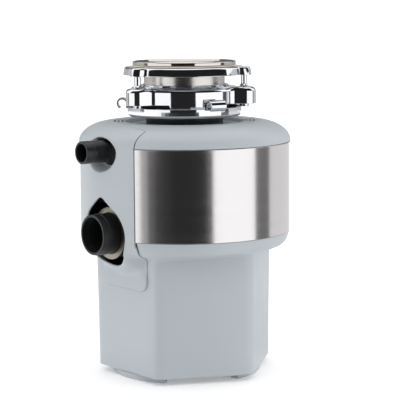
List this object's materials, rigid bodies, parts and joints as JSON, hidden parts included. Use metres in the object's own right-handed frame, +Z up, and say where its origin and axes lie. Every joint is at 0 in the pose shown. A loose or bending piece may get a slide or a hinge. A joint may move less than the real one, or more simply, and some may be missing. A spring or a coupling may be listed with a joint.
{
  "type": "kitchen garbage disposal",
  "caption": "Continuous-feed kitchen garbage disposal with a steel-banded round body, six-sided base, drain and dishwasher pipes and a screw sink mount.",
  "frame": {"origin": "centre of the bounding box at the level of the feet", "axes": "+Z up along the motor shaft towards the sink, -Y the way both pipes point, +X to the right seen from behind the pipes looking along +Y"},
  "size_m": [0.228, 0.2494, 0.3355],
  "materials": {
    "casing_plastic": "moulded, pale blue-grey, satin",
    "band_steel": "fine horizontal brushing, polished",
    "flange_steel": "polished rim, brushed sleeve",
    "chrome": "bright plated",
    "zinc_steel": "zinc plated",
    "grinding_steel": "pressed stainless",
    "cast_aluminium": "as cast",
    "laminated_iron": "varnished laminations",
    "copper": "enamelled wire",
    "bronze": "sintered bronze",
    "black_rubber": "matte",
    "black_plastic": "moulded, black",
    "fibre": "pressed fibre",
    "foam": "dark foam",
    "red_plastic": "moulded, red"
  },
  "bodies": {
    "housing": {"sink_flange": "flange_steel", "flange_gasket": "fibre", "backup_ring": "chrome", "mounting_ring": "chrome", "snap_ring": "zinc_steel", "mounting_screw_1": "chrome", "mounting_screw_2": "chrome", "mounting_screw_3": "chrome", "mounting_gasket": "black_rubber", "top_cover": "casing_plastic", "steel_band": "band_steel", "lower_casing": "casing_plastic", "side_cover": "casing_plastic", "insulation": "foam", "bottom_cover": "casing_plastic", "bottom_screw_1": "zinc_steel", "bottom_screw_2": "zinc_steel", "bottom_screw_3": "zinc_steel", "cable_bush": "black_rubber", "grind_chamber": "grinding_steel", "grind_ring": "grinding_steel", "clamp_band": "zinc_steel", "upper_end_bell": "cast_aluminium", "shaft_seal": "black_rubber", "upper_bearing": "bronze", "stator_core": "laminated_iron", "upper_winding": "copper", "lower_winding": "copper", "motor_shell": "zinc_steel", "lower_end_bell": "cast_aluminium", "lower_bearing": "bronze", "through_bolt_1": "zinc_steel", "through_bolt_2": "zinc_steel", "through_bolt_3": "zinc_steel", "through_bolt_4": "zinc_steel", "start_capacitor": "black_plastic", "overload_protector": "black_plastic", "dishwasher_inlet": "black_plastic", "knockout_plug": "black_plastic", "outlet_gasket": "black_rubber", "outlet_pipe": "black_plastic", "outlet_flange": "grinding_steel", "outlet_screw_1": "zinc_steel", "outlet_screw_2": "zinc_steel"},
    "rotor": {"motor_shaft": "zinc_steel", "rotor_core": "laminated_iron", "turntable": "grinding_steel", "turntable_nut": "zinc_steel", "hammer_pin_1": "grinding_steel", "hammer_pin_2": "grinding_steel"},
    "hammer_1": {"hammer_1": "grinding_steel"},
    "hammer_2": {"hammer_2": "grinding_steel"},
    "lock_ring": {"lock_ring": "chrome"},
    "splash_baffle": {"splash_baffle": "black_rubber"},
    "reset_button": {"reset_button": "red_plastic"}
  },
  "joints": [
    {"name": "rotor_spin", "type": "hinge", "parent": "housing", "child": "rotor", "pos_m": [0, 0.01065, 0.19], "axis": [0, 0, 1], "continuous": true},
    {"name": "hammer_1_swivel", "type": "hinge", "parent": "rotor", "child": "hammer_1", "pos_m": [0.043, 0.01065, 0.195], "axis": [0, 0, 1], "continuous": true},
    {"name": "hammer_2_swivel", "type": "hinge", "parent": "rotor", "child": "hammer_2", "pos_m": [-0.043, 0.01065, 0.195], "axis": [0, 0, 1], "continuous": true},
    {"name": "lock_ring_turn", "type": "hinge", "parent": "housing", "child": "lock_ring", "pos_m": [0, 0.01065, 0.282], "axis": [0, 0, 1], "range_deg": [-38, 0]},
    {"name": "baffle_lift", "type": "slide", "parent": "housing", "child": "splash_baffle", "axis": [0, 0, 1], "range_m": [0, 0.05]},
    {"name": "reset_press", "type": "slide", "parent": "housing", "child": "reset_button", "axis": [0, 0, 1], "range_m": [0, 0.0025], "stiffness_N_per_m": 300, "springref_m": -0.001}
  ]
}
